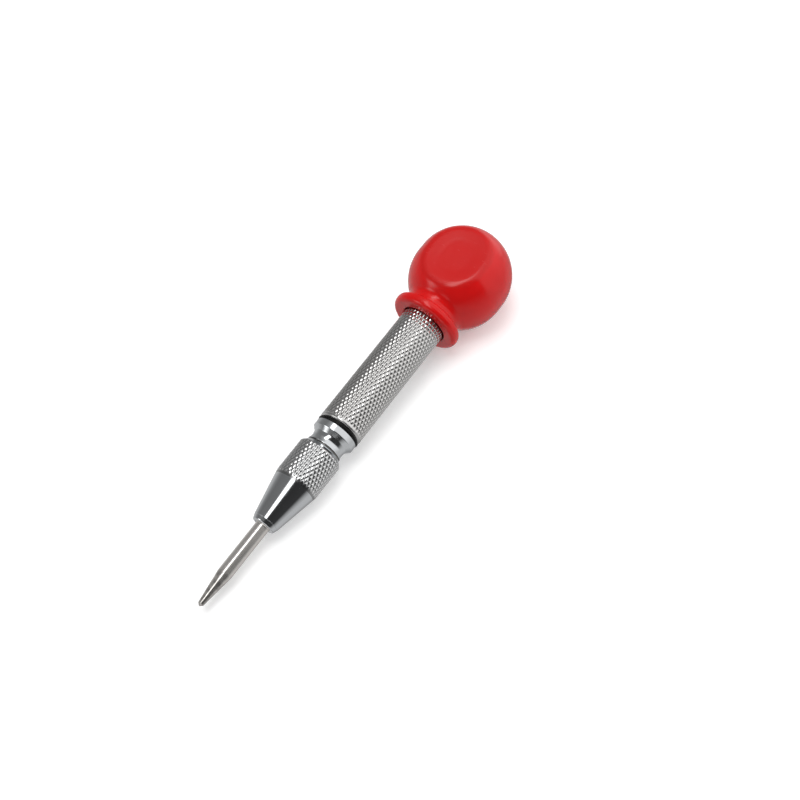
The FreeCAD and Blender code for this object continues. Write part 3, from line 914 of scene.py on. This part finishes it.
def glossy_only(made):
    """Hides a card from everything but reflections."""
    for ray in ("camera", "diffuse", "transmission", "volume_scatter", "shadow"):
        setattr(made, f"visible_{ray}", False)
    return made


def make_tent():
    """A tube of grey and dark card round the tool, which only reflections see."""
    points, faces, steps = [], [], 96
    for k in range(steps):
        a = FULL_TURN * k / steps
        y, z = TENT_RADIUS * math.cos(a), TENT_RADIUS * math.sin(a)
        points += [(-TENT_HALF_LENGTH, y, z), (TENT_HALF_LENGTH, y, z)]
        after = 2 * ((k + 1) % steps)
        faces.append((2 * k, 2 * k + 1, after + 1, after))
    mesh = bpy.data.meshes.new("cards")
    mesh.from_pydata(points, [], faces)
    tent = linked("cards", mesh)
    n = Nodes("card_grey")
    n.tree.nodes.remove(n.shader)
    parts = n.add("ShaderNodeSeparateXYZ", {0: n.place})
    # Turned so that the seam lies straight down: the arctangent of (-y', z') runs from -90 to 270 degrees.
    turned_y = n.math("MULTIPLY", parts.outputs["Y"], -1.0)
    from_top = n.add("ShaderNodeMath", {0: turned_y, 1: parts.outputs["Z"]}, operation="ARCTAN2").outputs[0]
    share = n.ramp(from_top, -math.pi, math.pi, 0.0, 1.0)
    ramps = []
    for levels in (OPEN_LEVELS, SHADED_LEVELS):
        ramp = n.add("ShaderNodeValToRGB", {0: share})
        stops = ramp.color_ramp.elements
        while len(stops) < len(levels):
            stops.new(0.5)
        for stop, (at, level) in zip(stops, levels):
            stop.position = (at + 90) / 360
            stop.color = (level, level, level, 1)
        ramps.append(ramp.outputs[0])
    blend = (SHADED_END - SHADED_BLEND, SHADED_END + SHADED_BLEND)
    shaded = n.ramp(parts.outputs["X"], *blend, 1.0, 0.0)
    glow = n.add("ShaderNodeEmission", {"Color": n.mix(shaded, *ramps)})
    n.tree.links.new(glow.outputs[0], n.tree.nodes["Material Output"].inputs["Surface"])
    mesh.materials.append(n.material)
    return glossy_only(tent)


def card(name, centre, aim, length, width, slant, level, soft=0.75):
    """A bright card that only reflections see, turned by slant degrees in its plane, with soft edges."""
    bm = bmesh.new()
    bmesh.ops.create_grid(bm, x_segments=1, y_segments=1, size=0.5)
    bmesh.ops.scale(bm, vec=(length, width, 1), verts=bm.verts)
    mesh = bpy.data.meshes.new(name)
    bm.to_mesh(mesh)
    bm.free()
    made = linked(name, mesh)
    out = (Vector(centre) - Vector(aim)).normalized()
    across = out.cross(Vector((1, 0, 0))).normalized()
    along = across.cross(out)
    made.matrix_world = standing(centre, along, across, out) @ Matrix.Rotation(math.radians(slant), 4, "Z")
    n = Nodes(f"{name}_light")
    n.tree.nodes.remove(n.shader)
    parts = n.add("ShaderNodeSeparateXYZ", {0: n.place})
    edge = soft * min(length, width) / 2
    fades = []
    for axis, half in (("X", length / 2), ("Y", width / 2)):
        fades.append(n.ramp(n.math("ABSOLUTE", parts.outputs[axis]), half - edge, half, 1.0, 0.0))
    share = n.math("MULTIPLY", *fades)
    clear = n.add("ShaderNodeBsdfTransparent").outputs[0]
    glow = n.add("ShaderNodeEmission", {"Strength": level}).outputs[0]
    faded = n.add("ShaderNodeMixShader", {0: share, 1: clear, 2: glow})
    n.tree.links.new(faded.outputs[0], n.tree.nodes["Material Output"].inputs["Surface"])
    mesh.materials.append(n.material)
    return glossy_only(made)


def make_strip():
    """The long soft box above the tool, just inside the tent."""
    angle, reach = math.radians(STRIP_ANGLE), TENT_RADIUS * 0.92
    middle = sum(STRIP_X) / 2
    length = STRIP_X[1] - STRIP_X[0]
    centre = (middle, reach * math.cos(angle), reach * math.sin(angle))
    return card("strip", centre, (middle, 0, 0), length, STRIP_WIDTH, STRIP_SLANT, STRIP_LEVEL)


def make_window():
    """Lights the faces turned towards the point: the nose's lip, the waist's cone and the knob's neck."""
    centre = Vector((-0.69, 0.55, 0.51)) * TENT_RADIUS * 0.8
    return card("window", centre, (0, 0, 0), WINDOW_SIDE, WINDOW_SIDE, 0, WINDOW_LEVEL)


def lamp(name, place, aim, side, watts):
    """A square soft lamp, aimed at a point."""
    data = bpy.data.lights.new(name, "AREA")
    data.size = side
    data.energy = watts
    made = linked(name, data)
    made.visible_glossy = False
    made.location = place
    made.rotation_euler = (Vector(aim) - Vector(place)).to_track_quat("-Z", "Y").to_euler()
    return made


CAMERA_AZIMUTH, CAMERA_ELEVATION, CAMERA_ROLL = -41.871, 59.599, -14.235  # degrees
CAMERA_DISTANCE = 0.332208
CAMERA_TARGET = (0.009333, -0.008461, AXIS_Z)
LENS, SENSOR_WIDTH = 56.25, 36.0  # millimetres


def make_camera():
    """Looks down at about 60 degrees from the point's side, rolled to set the tool upright."""
    azimuth, elevation, roll = (math.radians(a) for a in (CAMERA_AZIMUTH, CAMERA_ELEVATION, CAMERA_ROLL))
    flat = math.cos(elevation)
    back = Vector((math.sin(azimuth) * flat, -math.cos(azimuth) * flat, math.sin(elevation)))
    right = (-back).cross(Vector((0, 0, 1))).normalized()
    up = right.cross(-back)
    side = right * math.cos(roll) + up * math.sin(roll)
    top = -right * math.sin(roll) + up * math.cos(roll)
    data = bpy.data.cameras.new("camera")
    data.lens = LENS
    data.sensor_width = SENSOR_WIDTH
    data.clip_start, data.clip_end = 0.01, 20
    camera = linked("camera", data)
    camera.matrix_world = standing(Vector(CAMERA_TARGET) + back * CAMERA_DISTANCE, side, top, back)
    bpy.context.scene.camera = camera


white_world()
make_floor()
make_tent()
make_strip()
make_window()
lamp("key", (0.10, 0.10, 0.55), (0.01, 0, 0.01), 0.45, 2.3)
lamp("fill", (0.42, -0.28, 0.26), (0.03, 0, 0.01), 0.40, 0.9)
make_camera()
bpy.context.scene.view_settings.view_transform = "Standard"
